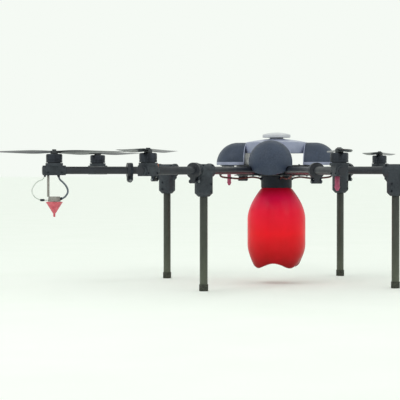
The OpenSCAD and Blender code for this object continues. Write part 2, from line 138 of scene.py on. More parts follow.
def noise(size_mm, stops, detail=4.0, stretch=(1, 1, 1)):
    """Cloudy variation whose blotches are about size_mm across."""
    def make(tree, place):
        mapped = add(tree, "ShaderNodeMapping", {"Scale": stretch}, {"Vector": place})
        tex = add(tree, "ShaderNodeTexNoise",
                  {"Scale": 1 / (size_mm * MM), "Detail": detail, "Roughness": 0.55},
                  {"Vector": mapped.outputs["Vector"]})
        return ramp(tree, tex.outputs["Fac"], stops)
    return make


def mixed(first, second, fac):
    """Blends two colour makers by a third."""
    def make(tree, place):
        node = add(tree, "ShaderNodeMix", {"data_type": "RGBA", "blend_type": "MIX"})
        tree.links.new(fac(tree, place), node.inputs["Factor"])
        tree.links.new(first(tree, place), node.inputs["A"])
        tree.links.new(second(tree, place), node.inputs["B"])
        return node.outputs["Result"]
    return make


def by_height(low_m, high_m, stops):
    """A ramp that runs up the object between two heights."""
    def make(tree, place):
        split = add(tree, "ShaderNodeSeparateXYZ", links={"Vector": place})
        span = add(tree, "ShaderNodeMapRange", {"From Min": low_m, "From Max": high_m},
                   {"Value": split.outputs["Z"]})
        return ramp(tree, span.outputs["Result"], stops)
    return make


# Blender's wave texture has bands 2 pi / 20 of a unit wide at scale 1
WAVE_BANDS = 20


def weave(tow_mm, stops):
    """Twill of carbon tows: two crossed sets of diagonal bands."""
    def make(tree, place):
        bands = []
        for turn in (math.radians(45), math.radians(-45)):
            mapped = add(tree, "ShaderNodeMapping", {"Rotation": (0.6, 0.5, turn)}, {"Vector": place})
            wave = add(tree, "ShaderNodeTexWave",
                       {"wave_type": "BANDS", "Distortion": 0.3,
                        "Scale": 1 / (tow_mm * MM * WAVE_BANDS) * 2 * math.pi},
                       {"Vector": mapped.outputs["Vector"]})
            bands.append(wave.outputs["Fac"])
        both = add(tree, "ShaderNodeMath", {"operation": "MULTIPLY"})
        tree.links.new(bands[0], both.inputs[0])
        tree.links.new(bands[1], both.inputs[1])
        return ramp(tree, both.outputs["Value"], stops)
    return make


# ---------------------------------------------------------------- materials

def make_materials():
    m = {}
    # Pultruded carbon-fibre tube under satin lacquer: near-black blue-grey with a sheen along the top
    m["carbon_tube"] = finish_of(
        "lacquered_carbon_tube", {"Coat Weight": 0.2, "Coat Roughness": 0.24, "Specular IOR Level": 0.35},
        mixed(weave(3, [(0.2, "#14161d"), (0.8, "#2c313b")]), noise(60, [(0.3, "#191c24"), (0.7, "#2a2e38")]),
              noise(25, [(0.3, 0.25), (0.7, 0.75)])),
        noise(12, [(0.3, 0.34), (0.7, 0.5)]), weave(3, [(0, 0.0), (1, 1.0)]), 0.0001)
    # Woven carbon plate: flat, darker, with cut edges
    m["carbon_plate"] = finish_of(
        "woven_carbon_plate", {"Coat Weight": 0.35, "Coat Roughness": 0.3},
        weave(4, [(0.15, "#15171a"), (0.85, "#33383d")]), noise(18, [(0.3, 0.36), (0.7, 0.55)]),
        weave(4, [(0, 0.0), (1, 1.0)]), 0.00015)
    # Glass-filled nylon moulding: dull blue-black with fine grain and scuffed, paler patches
    m["moulded_dark"] = finish_of(
        "glass_filled_nylon", {"Specular IOR Level": 0.4},
        mixed(noise(30, [(0.3, "#232830"), (0.7, "#363c43")]), noise(6, [(0.4, "#1b2027"), (0.75, "#4a525a")]),
              noise(14, [(0.45, 0.0), (0.75, 0.55)])),
        noise(5, [(0.3, 0.5), (0.7, 0.72)]), noise(1.2, [(0.2, 0.0), (0.8, 1.0)], 2.0), 0.00012)
    # Black anodised aluminium: metallic, satin, slightly uneven
    m["anodised_dark"] = finish_of(
        "black_anodised_aluminium", {"Metallic": 0.85},
        noise(20, [(0.3, "#23272d"), (0.7, "#363b43")]), noise(4, [(0.3, 0.36), (0.7, 0.52)]),
        noise(0.8, [(0.2, 0.0), (0.8, 1.0)], 2.0), 0.00004)
    # Turned and anodised motor bells: fine rings round the axis
    m["motor_black"] = finish_of(
        "turned_black_aluminium", {"Metallic": 0.8},
        noise(16, [(0.3, "#25282e"), (0.7, "#3a3e46")], stretch=(1, 1, 0.1)),
        noise(2, [(0.3, 0.3), (0.7, 0.46)], stretch=(1, 1, 8)),
        noise(1.5, [(0.2, 0.0), (0.8, 1.0)], 2.0, stretch=(1, 1, 10)), 0.00004)
    # Stainless steel screws and pins, drawn and tumbled
    m["steel"] = finish_of(
        "stainless_steel", {"Metallic": 1.0},
        noise(8, [(0.3, "#6d7073"), (0.7, "#929598")]), noise(3, [(0.3, 0.22), (0.7, 0.4)]))
    # Carbon leg tube, olive-grey, with dust that thickens towards the foot
    m["leg_tube"] = finish_of(
        "satin_carbon_leg_tube", {"Coat Weight": 0.3, "Coat Roughness": 0.35},
        mixed(by_height(0.0, 0.33, [(0.0, "#565c4b"), (0.4, "#343a2d"), (1.0, "#1a1f1c")]),
              noise(9, [(0.3, "#181c18"), (0.7, "#42473a")], stretch=(1, 1, 0.25)),
              noise(30, [(0.35, 0.1), (0.75, 0.5)])),
        noise(14, [(0.3, 0.46), (0.7, 0.66)]), weave(3, [(0, 0.0), (1, 1.0)]), 0.0001)
    # Moulded rubber, dull black with dust in its grain
    m["rubber_black"] = finish_of(
        "moulded_rubber", {"IOR": 1.52, "Specular IOR Level": 0.3},
        noise(5, [(0.35, "#2e302b"), (0.8, "#55584d")]), noise(3, [(0.3, 0.72), (0.7, 0.9)]),
        noise(1, [(0.2, 0.0), (0.8, 1.0)], 2.0), 0.0002)
    # Pale grey ABS shell with a soft gloss and faint lavender cast
    m["cowl_pale"] = finish_of(
        "pale_gloss_abs", {"Coat Weight": 0.25, "Coat Roughness": 0.25, "IOR": 1.54},
        mixed(noise(90, [(0.3, "#868ca6"), (0.7, "#999fb8")]), noise(4, [(0.45, "#767c96"), (0.8, "#a1a6bc")]),
              noise(35, [(0.45, 0.0), (0.8, 0.5)])),
        noise(25, [(0.3, 0.3), (0.7, 0.46)]), noise(1.5, [(0.2, 0.0), (0.8, 1.0)], 2.0), 0.00004)
    # Dark ABS domes: slate grey, fine spark-eroded grain, with paler dusty patches
    m["cowl_dark"] = finish_of(
        "dark_textured_abs", {"Coat Weight": 0.05, "Coat Roughness": 0.35, "Specular IOR Level": 0.3},
        mixed(noise(70, [(0.3, "#2f384a"), (0.7, "#404a5e")]), noise(5, [(0.4, "#272f3e"), (0.8, "#525d72")]),
              noise(30, [(0.4, 0.1), (0.8, 0.55)])),
        noise(12, [(0.3, 0.4), (0.7, 0.6)]), noise(1.5, [(0.2, 0.0), (0.8, 1.0)], 2.0), 0.0001)
    # Pale matt polycarbonate of the antenna puck, which radio passes through
    m["antenna_plastic"] = finish_of(
        "pale_matt_polycarbonate", {"IOR": 1.58},
        noise(40, [(0.3, "#c3c4ca"), (0.7, "#d2d3d8")]), noise(10, [(0.3, 0.4), (0.7, 0.55)]))
    # Black ABS cases of the controller and the pump, faintly grained
    m["electronics"] = finish_of(
        "black_abs_case", {}, noise(12, [(0.3, "#17181b"), (0.7, "#26282c")]),
        noise(4, [(0.3, 0.45), (0.7, 0.62)]), noise(1, [(0.2, 0.0), (0.8, 1.0)], 2.0), 0.00006)
    # Black polypropylene collar and cap
    m["moulded_black"] = finish_of(
        "black_polypropylene", {"Specular IOR Level": 0.25},
        noise(20, [(0.3, "#070b16"), (0.7, "#101727")]), noise(6, [(0.3, 0.4), (0.7, 0.58)]),
        noise(1.5, [(0.2, 0.0), (0.8, 1.0)], 2.0), 0.00006)
    # The pump's case is the same plastic as the controller's
    m["pump_body"] = m["electronics"]
    # Red-brown silicone hose with a dusty bloom
    m["hose_red"] = finish_of(
        "red_silicone_hose", {"Subsurface Weight": 0.08, "Subsurface Radius": (0.004, 0.001, 0.001), "IOR": 1.41},
        noise(14, [(0.3, "#4a2220"), (0.7, "#6c3834")]), noise(5, [(0.3, 0.4), (0.7, 0.62)]))
    # Grey polyurethane feed hose, half gloss
    m["hose_dark"] = finish_of(
        "grey_polyurethane_hose", {"IOR": 1.5},
        noise(10, [(0.3, "#444b55"), (0.7, "#5f6874")]), noise(5, [(0.3, 0.3), (0.7, 0.5)]))
    # Pale PVC sheath of the thin motor cable
    m["cable_pale"] = finish_of(
        "pale_pvc_cable", {"IOR": 1.53},
        noise(10, [(0.3, "#b9c0ba"), (0.7, "#d3d8d2")]), noise(5, [(0.3, 0.4), (0.7, 0.55)]))
    # Hard polycarbonate battery case, scuffed by handling
    m["battery_pack"] = finish_of(
        "hard_battery_case", {"IOR": 1.53},
        noise(30, [(0.3, "#20242c"), (0.7, "#2f3440")]), noise(8, [(0.3, 0.36), (0.7, 0.52)]),
        noise(1.2, [(0.2, 0.0), (0.8, 1.0)], 2.0), 0.00008)
    # Blow-moulded polyethylene tank: waxy gloss, cherry red, with painted shade at its base and at its neck and a
    # painted rosy sheen on its shoulders
    m["tank_red"] = finish_of(
        "polyethylene_with_painted_shade_and_sheen",
        {"IOR": 1.45, "Specular IOR Level": 0.18, "Coat Weight": 0.1, "Coat Roughness": 0.12},
        # Painted light and shade by height: the dark stops at the base and at the neck are painted shade, the rosy
        # stops on the shoulders are a painted sheen, and the red between them is the tank's own colour
        mixed(by_height(tank_lo.z, tank_hi.z - 0.02,
                        [(0.0, "#6e0205"), (0.14, "#b4040b"), (0.4, "#f20618"), (0.66, "#f20a36"), (0.82, "#e4104e"),
                         (0.92, "#b80c2c"), (1.0, "#6c0818")]),
              noise(45, [(0.3, "#c00612"), (0.7, "#f0102a")]), noise(60, [(0.3, 0.1), (0.7, 0.3)])),
        noise(30, [(0.3, 0.3), (0.7, 0.44)]), noise(60, [(0.2, 0.0), (0.8, 1.0)], 1.0), 0.0006)
    # Bead-blasted aluminium rod and spray motor
    m["atomiser_metal"] = finish_of(
        "bead_blasted_aluminium", {"Metallic": 0.9},
        noise(10, [(0.3, "#8b8783"), (0.7, "#a5a29d")]), noise(2, [(0.3, 0.4), (0.7, 0.56)]),
        noise(0.8, [(0.2, 0.0), (0.8, 1.0)], 2.0), 0.00006)
    # Translucent red acetal of the spinning cups
    m["cup_red"] = finish_of(
        "red_acetal", {"Subsurface Weight": 0.1, "Subsurface Radius": (0.006, 0.001, 0.001), "IOR": 1.48},
        noise(12, [(0.3, "#c04a58"), (0.7, "#dc6c78")]), noise(4, [(0.3, 0.3), (0.7, 0.46)]))
    # Crimson acetal of the small fixed nozzles
    m["nozzle_red"] = finish_of(
        "crimson_acetal", {"IOR": 1.48},
        noise(10, [(0.3, "#8e3450"), (0.7, "#ab4a6a")]), noise(4, [(0.3, 0.32), (0.7, 0.5)]))
    # Moulded carbon propeller under clear lacquer: dark face on, pale where it mirrors the sky edge on
    m["prop_composite"] = finish_of(
        "lacquered_carbon_blade", {"Coat Weight": 0.2, "Coat Roughness": 0.2, "Specular IOR Level": 0.4},
        noise(25, [(0.3, "#24272b"), (0.7, "#3a3f44")]), noise(10, [(0.3, 0.34), (0.7, 0.5)]),
        noise(1.5, [(0.2, 0.0), (0.8, 1.0)], 2.0), 0.00005)
    # Enamelled copper windings
    m["copper"] = finish_of(
        "enamelled_copper", {"Metallic": 1.0, "Coat Weight": 0.6},
        noise(3, [(0.3, "#9a4a22"), (0.7, "#c87440")]), noise(2, [(0.3, 0.25), (0.7, 0.4)]))
    # Lamp lenses: tinted polycarbonate, clear enough to glow a little
    m["lens_amber"] = finish_of(
        "amber_lamp_lens", {"Transmission Weight": 0.25, "IOR": 1.49, "Coat Weight": 0.5},
        noise(4, [(0.3, "#a8501e"), (0.7, "#c96a2c")]), noise(3, [(0.3, 0.15), (0.7, 0.3)]))
    m["lens_rose"] = finish_of(
        "rose_lamp_lens", {"Transmission Weight": 0.25, "IOR": 1.49, "Coat Weight": 0.5},
        noise(4, [(0.3, "#b04a66"), (0.7, "#d0708a")]), noise(3, [(0.3, 0.15), (0.7, 0.3)]))
    # Seamless pale backdrop with the slightest cloud in it
    m["floor"] = finish_of(
        "pale_seamless_floor", {},
        noise(400, [(0.3, "#f8fcf7"), (0.7, "#fbfefa")]), noise(200, [(0.3, 0.8), (0.7, 0.95)]))
    return m


MATERIALS = make_materials()


# ---------------------------------------------------------------- making pieces

def new_piece(name, bm, body, slot, material=None, smooth_deg=35, replaces=()):
    """Turns a bmesh into a finished piece that rides on a body."""
    bmesh.ops.recalc_face_normals(bm, faces=bm.faces)
    mesh = bpy.data.meshes.new(name)
    bm.to_mesh(mesh)
    bm.free()
    obj = bpy.data.objects.new(name, mesh)
    bpy.context.scene.collection.objects.link(obj)
    smooth_by_angle(obj, smooth_deg)
    mesh.materials.append(MATERIALS[material or slot])
    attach(obj, body)
    if replaces:
        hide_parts(*replaces)


def smooth_by_angle(obj, degrees):
    """Shades smooth, with sharp edges where faces meet at more than an angle."""
    mesh = obj.data
    mesh.shade_smooth()
    bm = bmesh.new()
    bm.from_mesh(mesh)
    limit = math.radians(degrees)
    for edge in bm.edges:
        edge.smooth = len(edge.link_faces) == 2 and edge.calc_face_angle(math.pi) < limit
    bm.to_mesh(mesh)
    bm.free()


def rounded(bm, edges, offset):
    """Rounds edges with a bevel of two segments."""
    bmesh.ops.bevel(bm, geom=edges, offset=offset, offset_type="OFFSET", affect="EDGES",
                    segments=2, profile=0.5, material=-1, clamp_overlap=True)


def refined(node, bevel_mm, slot):
    """A softened copy of a CAD node: welded, its flats dissolved and its hard edges rounded."""
    bm = bmesh.new()
    bm.from_mesh(nodes[node].data)
    bmesh.ops.remove_doubles(bm, verts=bm.verts, dist=0.00002)
    bmesh.ops.dissolve_limit(bm, angle_limit=math.radians(0.6), verts=bm.verts, edges=bm.edges)
    hard = [e for e in bm.edges if len(e.link_faces) == 2 and e.calc_face_angle(0) > math.radians(38)]
    rounded(bm, hard, bevel_mm * MM)
    new_piece(f"{node}_fine", bm, nodes[node]["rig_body"], slot, replaces=(node,))


def turned(profile, steps=64):
    """Spins a list of (radius, height) points round Z. Points on the axis close the shape."""
    bm = bmesh.new()
    verts = [bm.verts.new((r, 0, z)) for r, z in profile]
    edges = [bm.edges.new(pair) for pair in zip(verts, verts[1:])]
    bmesh.ops.spin(bm, geom=verts + edges, cent=(0, 0, 0), axis=(0, 0, 1), dvec=(0, 0, 0),
                   angle=2 * math.pi, steps=steps, use_merge=True)
    bmesh.ops.remove_doubles(bm, verts=bm.verts, dist=0.00001)
    return bm


# ---------------------------------------------------------------- plain nodes get their finish

def dress(node, material):
    """Gives a CAD node's mesh one of the materials."""
    mesh = nodes[node].data
    mesh.materials.clear()
    mesh.materials.append(MATERIALS[material])


slot_of = {s["node"]: s["material_slot"] for s in frame["record"]["subparts"]}
for node in nodes:
    dress(node, slot_of[node])


# ---------------------------------------------------------------- tank

# Shares of the tank's height, from the shoulder down, where its straight side starts and ends
SIDE_STARTS = 0.42
SIDE_ENDS = 0.72
# Shares of its half-width, at the top of the shoulder and lost at the base
SHOULDER_SHARE = 0.505
BASE_TAPER = 0.18
TANK_HALF = (tank_hi.x - tank_lo.x) / 2 - 0.4 * MM
TANK_TOP = arm_axis_z - 66.3 * MM
TANK_BASE = tank_lo.z + 12 * MM
NECK_R = 53.9 * MM
NECK_TOP = tank_hi.z
TANK_WALL = 3 * MM
FOOT_RING = 79 * MM
FOOT_HALF_WIDTH = 17 * MM
FOOT_DROP = 11.5 * MM
ARCH_RISE = 7 * MM
LOBED_HEIGHT = 70 * MM
SEAM_RAISE = 0.35 * MM


def width_share(t):
    """Share of the tank's full half-width at a share t of its height, from shoulder to base."""
    if t < SIDE_STARTS:
        return SHOULDER_SHARE + (1 - SHOULDER_SHARE) * math.sin(math.pi / 2 * t / SIDE_STARTS) ** 0.9
    if t < SIDE_ENDS:
        return 1.0
    return 1 - BASE_TAPER * ((t - SIDE_ENDS) / (1 - SIDE_ENDS)) ** 2.2


def tank_wall_line(inset, rows=56):
    """One side of the wall from the shoulder to the middle of the base."""
    line = [(TANK_HALF * width_share(i / rows) - inset,
             TANK_TOP - inset - (TANK_TOP - TANK_BASE - 2 * inset) * i / rows) for i in range(rows + 1)]
    r, z = line[-1]
    corner = [(r - 7 * MM * s, z - 3 * MM * math.sin(math.pi / 2 * s)) for s in (0.5, 1.0)]
    middle = [(r * share, z - 3 * MM + 6 * MM * (1 - share)) for share in (0.75, 0.6, 0.45, 0.3, 0.15, 0.0)]
    return line + corner + middle


def make_tank():
    """Blow-moulded tank: one spun wall, with four feet, arches between them and a parting line pushed out."""
    outer = [(NECK_R, NECK_TOP), (NECK_R, TANK_TOP + 1.5 * MM), (NECK_R + 1.5 * MM, TANK_TOP)] + tank_wall_line(0)
    inner = [(NECK_R - 4 * MM, NECK_TOP)] + tank_wall_line(TANK_WALL)
    bm = turned(inner[::-1] + outer, 144)
    for v in bm.verts:
        r = math.hypot(v.co.x, v.co.y)
        if r < 1 * MM or v.co.z > TANK_TOP - 2 * MM:
            continue
        angle = math.atan2(v.co.y, v.co.x)
        lobe = math.cos(4 * (angle - math.pi / 4))
        down = min(1.0, max(0.0, (TANK_BASE + LOBED_HEIGHT - v.co.z) / LOBED_HEIGHT))
        ease = down * down * (3 - 2 * down)
        ring = math.exp(-((r - FOOT_RING) / FOOT_HALF_WIDTH) ** 2)
        v.co.z -= FOOT_DROP * ring * max(0.0, lobe) * ease ** 4
        v.co.z += ARCH_RISE * max(0.0, -lobe) * ease * min(1.0, r / (70 * MM))
        swell = 1 + 0.03 * lobe * ease
        on_seam = abs(math.sin(angle)) < 0.02
        if on_seam:
            swell += SEAM_RAISE / r
        v.co.x *= swell
        v.co.y *= swell
    new_piece("tank_body", bm, "tank", "tank_red", smooth_deg=60, replaces=("tank",))


FLUTES = 24
FLUTE_DEPTH = 0.9 * MM


def slanted(joint, node):
    """Places a spun piece on a slanted neck: its Z along the joint's axis, its origin in the node's middle."""
    lo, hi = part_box(node)
    axis = Vector(joint_of[joint]["axis"])
    return Matrix.Translation((lo + hi) / 2) @ axis.to_track_quat("Z", "Y").to_matrix().to_4x4()


def make_filler():
    """Slanted filler neck on the tank's rear, and its screw cap with grip flutes."""
    seat = slanted("tank_cap_lift", "tank_cap")
    r = 27 * MM
    bm = turned([(r - 3 * MM, 6 * MM), (r - 0.6 * MM, 6 * MM), (r, 5.4 * MM), (r, -7.5 * MM), (r + 2.5 * MM, -8 * MM),
                 (r + 2.5 * MM, -10.5 * MM), (r, -11 * MM), (r, -28 * MM), (r + 5 * MM, -46 * MM),
                 (r - 3 * MM, -52 * MM), (r - 3 * MM, 6 * MM)], 72)
    bmesh.ops.transform(bm, matrix=seat, verts=bm.verts)
    new_piece("filler_neck", bm, "tank", "tank_red")
    bm = turned([(0, 10 * MM), (27 * MM, 10 * MM), (30 * MM, 8.5 * MM), (31 * MM, 6 * MM), (31 * MM, -9 * MM),
                 (30 * MM, -10 * MM), (27.2 * MM, -10 * MM), (27.2 * MM, 6 * MM), (0, 6 * MM)], 96)
    for v in bm.verts:
        r = math.hypot(v.co.x, v.co.y)
        on_skirt = r > 29 * MM and v.co.z < 9 * MM
        if on_skirt:
            flute = 1 - FLUTE_DEPTH / r * max(0.0, math.cos(FLUTES * math.atan2(v.co.y, v.co.x)))
            v.co.x *= flute
            v.co.y *= flute
    bmesh.ops.transform(bm, matrix=seat, verts=bm.verts)
    new_piece("filler_cap", bm, "tank_cap", "moulded_black", replaces=("tank_cap",))


# ---------------------------------------------------------------- rotors

BLADE_CHORD = 48 * MM
BLADE_ROOT = 12 * MM
BLADE_Z = 7.5 * MM


def blade_section(u):
    """Chord, thickness and pitch at a share u of the blade's length."""
    if u < 0.3:
        chord = BLADE_CHORD * (0.42 + 0.58 * math.sin(math.radians(300 * u)))
    else:
        chord = BLADE_CHORD * (1 - 0.72 * ((u - 0.3) / 0.7) ** 1.8)
    if u > 0.97:
        chord *= math.sqrt(max(0.02, 1 - ((u - 0.97) / 0.03) ** 2))
    return chord, (1.4 + 4.4 * (1 - u) ** 2) * MM, math.radians(24 - 18 * u)


def make_propeller(k):
    """Two-blade propeller: each blade is a ring of points extruded outwards and reshaped at every station."""
    centre = Vector((motor_at[k].x, motor_at[k].y, bell_hi_z(k)))
    verts = [v.co - centre for v in nodes[f"propeller_{k}"].data.vertices]
    tip = max(verts, key=lambda v: v.x * v.x + v.y * v.y)
    reach = math.hypot(tip.x, tip.y) - 0.3 * MM
    turn = blade_turn(k)
    sense = -1 if k % 2 else 1
    bm = bmesh.new()
    stations, sides = 34, 24
    for side in (0, math.pi):
        ring = bmesh.ops.create_circle(bm, segments=sides, radius=1 * MM)["verts"]
        first = list(ring)
        edges = list({e for v in ring for e in v.link_edges})
        for i in range(stations + 1):
            out = i / stations * (reach - BLADE_ROOT)
            u = max(0.0, (out - 4 * MM) / (reach - 16 * MM))
            chord, thick, pitch = blade_section(min(1.0, u))
            if i:
                made = bmesh.ops.extrude_edge_only(bm, edges=edges)["geom"]
                ring = [g for g in made if isinstance(g, bmesh.types.BMVert)]
                edges = [g for g in made if isinstance(g, bmesh.types.BMEdge)
                         and all(v in set(ring) for v in g.verts)]
                ring.sort(key=lambda v: order[(round(v.co.x, 7), round(v.co.y, 7), round(v.co.z, 7))])
            order = {}
            for s, v in enumerate(ring):
                a = 2 * math.pi * s / sides
                nose = 0.5 * (1 + math.cos(a))
                y = chord / 2 * math.cos(a) - 0.12 * chord
                z = thick / 2 * math.sin(a) * (0.55 + 0.75 * nose) + 0.06 * chord * math.sin(a / 2) ** 2
                y *= sense
                p = pitch * sense
                local = Vector((BLADE_ROOT + out, y * math.cos(p) - z * math.sin(p),
                                y * math.sin(p) + z * math.cos(p) + BLADE_Z))
                v.co = Matrix.Rotation(side, 3, "Z") @ local
                order[(round(v.co.x, 7), round(v.co.y, 7), round(v.co.z, 7))] = s
        bmesh.ops.contextual_create(bm, geom=edges)
        bmesh.ops.contextual_create(bm, geom=list({e for v in first for e in v.link_edges
                                                   if all(w in set(first) for w in e.verts)}))
    hub = turned([(4.1 * MM, 0.2 * MM), (13 * MM, 0.2 * MM), (14 * MM, 1.2 * MM), (14 * MM, 10.6 * MM),
                  (12.6 * MM, 12 * MM), (4.1 * MM, 12 * MM), (4.1 * MM, 0.2 * MM)], 48)
    merge_in(bm, hub)
    for side in (-1, 1):
        bolt = turned([(0, 11 * MM), (2.6 * MM, 11 * MM), (2.6 * MM, 13.6 * MM), (2.2 * MM, 14 * MM),
                       (1.3 * MM, 14 * MM), (1.2 * MM, 12.6 * MM), (0, 12.6 * MM)], 16)
        bmesh.ops.translate(bolt, verts=bolt.verts, vec=(0, side * 9 * MM, 0))
        merge_in(bm, bolt)
    bmesh.ops.transform(bm, matrix=Matrix.Translation(centre) @ Matrix.Rotation(turn, 4, "Z"), verts=bm.verts)
    new_piece(f"propeller_{k}_blades", bm, f"rotor_{k}", "prop_composite", smooth_deg=40,
              replaces=(f"propeller_{k}",))


def merge_in(bm, other):
    """Adds another bmesh's shape to bm."""
    mesh = bpy.data.meshes.new("part")
    other.to_mesh(mesh)
    other.free()
    bm.from_mesh(mesh)
    bpy.data.meshes.remove(mesh)


def bell_hi_z(k):
    """Height of the bell's top face, which is the propeller hub's seat."""
    return joint_of[f"rotor_{k}_spin"]["pos_m"][2] + 0.5 * MM


def blade_turn(k):
    """Heading of the propeller at rest, read from its farthest point."""
    middle = motor_at[k]
    far = max((v.co for v in nodes[f"propeller_{k}"].data.vertices),
              key=lambda c: (c.x - middle.x) ** 2 + (c.y - middle.y) ** 2)
    return round(math.degrees(math.atan2(far.y - middle.y, far.x - middle.x))) * math.pi / 180


def box_part(bm, size, matrix, bevel):
    """A block with bevelled edges, placed by a matrix."""
    part = bmesh.new()
    bmesh.ops.create_cube(part, size=1.0)
    bmesh.ops.scale(part, vec=size, verts=part.verts)
    rounded(part, part.edges[:], bevel)
    bmesh.ops.transform(part, matrix=matrix, verts=part.verts)
    merge_in(bm, part)


BELL_R = 30 * MM
BELL_H = 32 * MM


def make_bell(k):
    """Outrunner bell: grooved rim, spoked top with windows, shaft and nut. Copper coils show through."""
    lo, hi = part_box(f"motor_bell_{k}")
    top = bell_hi_z(k)
    r = BELL_R
    low = top - BELL_H
    bm = turned([(r - 4 * MM, low), (r - 0.8 * MM, low), (r, low + 0.8 * MM), (r, low + 8 * MM),
                 (r - 0.7 * MM, low + 8.7 * MM), (r - 0.7 * MM, low + 10.3 * MM), (r, low + 11 * MM),
                 (r, top - 4.5 * MM), (r - 1.2 * MM, top - 2 * MM), (r - 4 * MM, top - 0.3 * MM),
                 (r - 8 * MM, top), (r - 8 * MM, top - 4 * MM), (r - 4 * MM, top - 5 * MM), (r - 4 * MM, low)], 72)
    merge_in(bm, turned([(0, top - 5 * MM), (11 * MM, top - 5 * MM), (12 * MM, top - 4 * MM), (12 * MM, top),
                         (0, top)], 40))
    merge_in(bm, turned([(0, lo.z), (4 * MM, lo.z + 0.5 * MM), (4 * MM, hi.z - 5 * MM), (0, hi.z - 5 * MM)], 32))
    nut = bmesh.new()
    bmesh.ops.create_cone(nut, cap_ends=True, segments=6, radius1=8 * MM, radius2=8 * MM, depth=4.6 * MM)
    bmesh.ops.translate(nut, verts=nut.verts, vec=(0, 0, hi.z - 2.5 * MM))
    bmesh.ops.bevel(nut, geom=nut.edges[:], offset=0.4 * MM, offset_type="OFFSET", affect="EDGES", segments=2,
                    profile=0.5, material=-1)
    merge_in(bm, nut)
    for i in range(8):
        seat = Matrix.Rotation(math.pi / 4 * i, 4, "Z") @ Matrix.Translation((17 * MM, 0, top - 2.2 * MM))
        box_part(bm, (12 * MM, 5 * MM, 4 * MM), seat, 0.6 * MM)
    bmesh.ops.translate(bm, verts=bm.verts, vec=(motor_at[k].x, motor_at[k].y, 0))
    new_piece(f"motor_bell_{k}_turned", bm, f"rotor_{k}", "motor_black", replaces=(f"motor_bell_{k}",))
    coils = bmesh.new()
    for i in range(12):
        seat = Matrix.Rotation(math.pi / 6 * i, 4, "Z") @ Matrix.Translation((17 * MM, 0, top - 7.2 * MM))
        box_part(coils, (11 * MM, 6.4 * MM, 2.6 * MM), seat, 1.1 * MM)
    bmesh.ops.translate(coils, verts=coils.verts, vec=(motor_at[k].x, motor_at[k].y, 0))
    new_piece(f"motor_coils_{k}", coils, f"arm_{k}", "motor_black", material="copper")


# ---------------------------------------------------------------- hoses and spray heads

def tube_piece(name, points, radius, body, slot, material=None, replaces=()):
    """A round tube with closed ends along a smooth curve through the points, made a mesh."""
    curve = bpy.data.curves.new(name, "CURVE")
    curve.dimensions = "3D"
    curve.bevel_depth = radius
    curve.bevel_resolution = 3
    curve.use_fill_caps = True
    line = curve.splines.new("BEZIER")
    line.bezier_points.add(len(points) - 1)
    for knot, place in zip(line.bezier_points, points):
        knot.co = place
        knot.handle_left_type = knot.handle_right_type = "AUTO"
    line.resolution_u = 8
    holder = bpy.data.objects.new(name, curve)
    bpy.context.scene.collection.objects.link(holder)
    bpy.context.view_layer.update()
    mesh = bpy.data.meshes.new_from_object(holder.evaluated_get(bpy.context.evaluated_depsgraph_get()))
    bpy.data.objects.remove(holder)
    bpy.data.curves.remove(curve)
    bm = bmesh.new()
    bm.from_mesh(mesh)
    bpy.data.meshes.remove(mesh)
    bmesh.ops.remove_doubles(bm, verts=bm.verts, dist=0.00001)
    new_piece(name, bm, body, slot, material=material, smooth_deg=50, replaces=replaces)


# Routes in mm: [distance outwards, sideways, height above the arm's axis]
FEED_ROUTE = [[-16, 0, -20], [-20, 0, -32], [-34, 0, -46], [-46, 0, -62], [-50, 0, -78],
              [-44, 0, -92], [-34, 0, -101], [-25, 0, -104]]
CABLE_ROUTE = [[34, 0, -20], [42, 0, -32], [62, 0, -42], [76, 0, -58], [82, 0, -74],
               [76, 0, -92], [62, 0, -104], [44, 0, -109], [25, 0, -109]]
HOSE_ROUTE = [[59, 0, -32], [74, 0, -28], [96, 0, -26], [122, 0, -29], [150, 0, -31],
              [176, 0, -29], [198, 0, -27], [211, 0, -24], [216, 0, -20], [216, 0, -14.8]]


HOSE_R = 3.5 * MM
CABLE_R = 2 * MM


def along_arm(k, route, from_r):
    """A route's points on arm k, counted outwards from a distance."""
    return [on_arm(k, from_r + x * MM, z * MM) @ Vector((0, y * MM, 0)) for x, y, z in route]


def collar_ring(bm, place, direction, r, length, lip=0.8 * MM):
    """A short ferrule round a hose."""
    ring = turned([(r * 0.6, -length / 2), (r, -length / 2), (r + lip, -length / 4), (r + lip, length / 4),
                   (r, length / 2), (r * 0.6, length / 2)], 24)
    turn = Vector(direction).to_track_quat("Z", "Y").to_matrix().to_4x4()
    bmesh.ops.transform(ring, matrix=Matrix.Translation(place) @ turn, verts=ring.verts)
    merge_in(bm, ring)


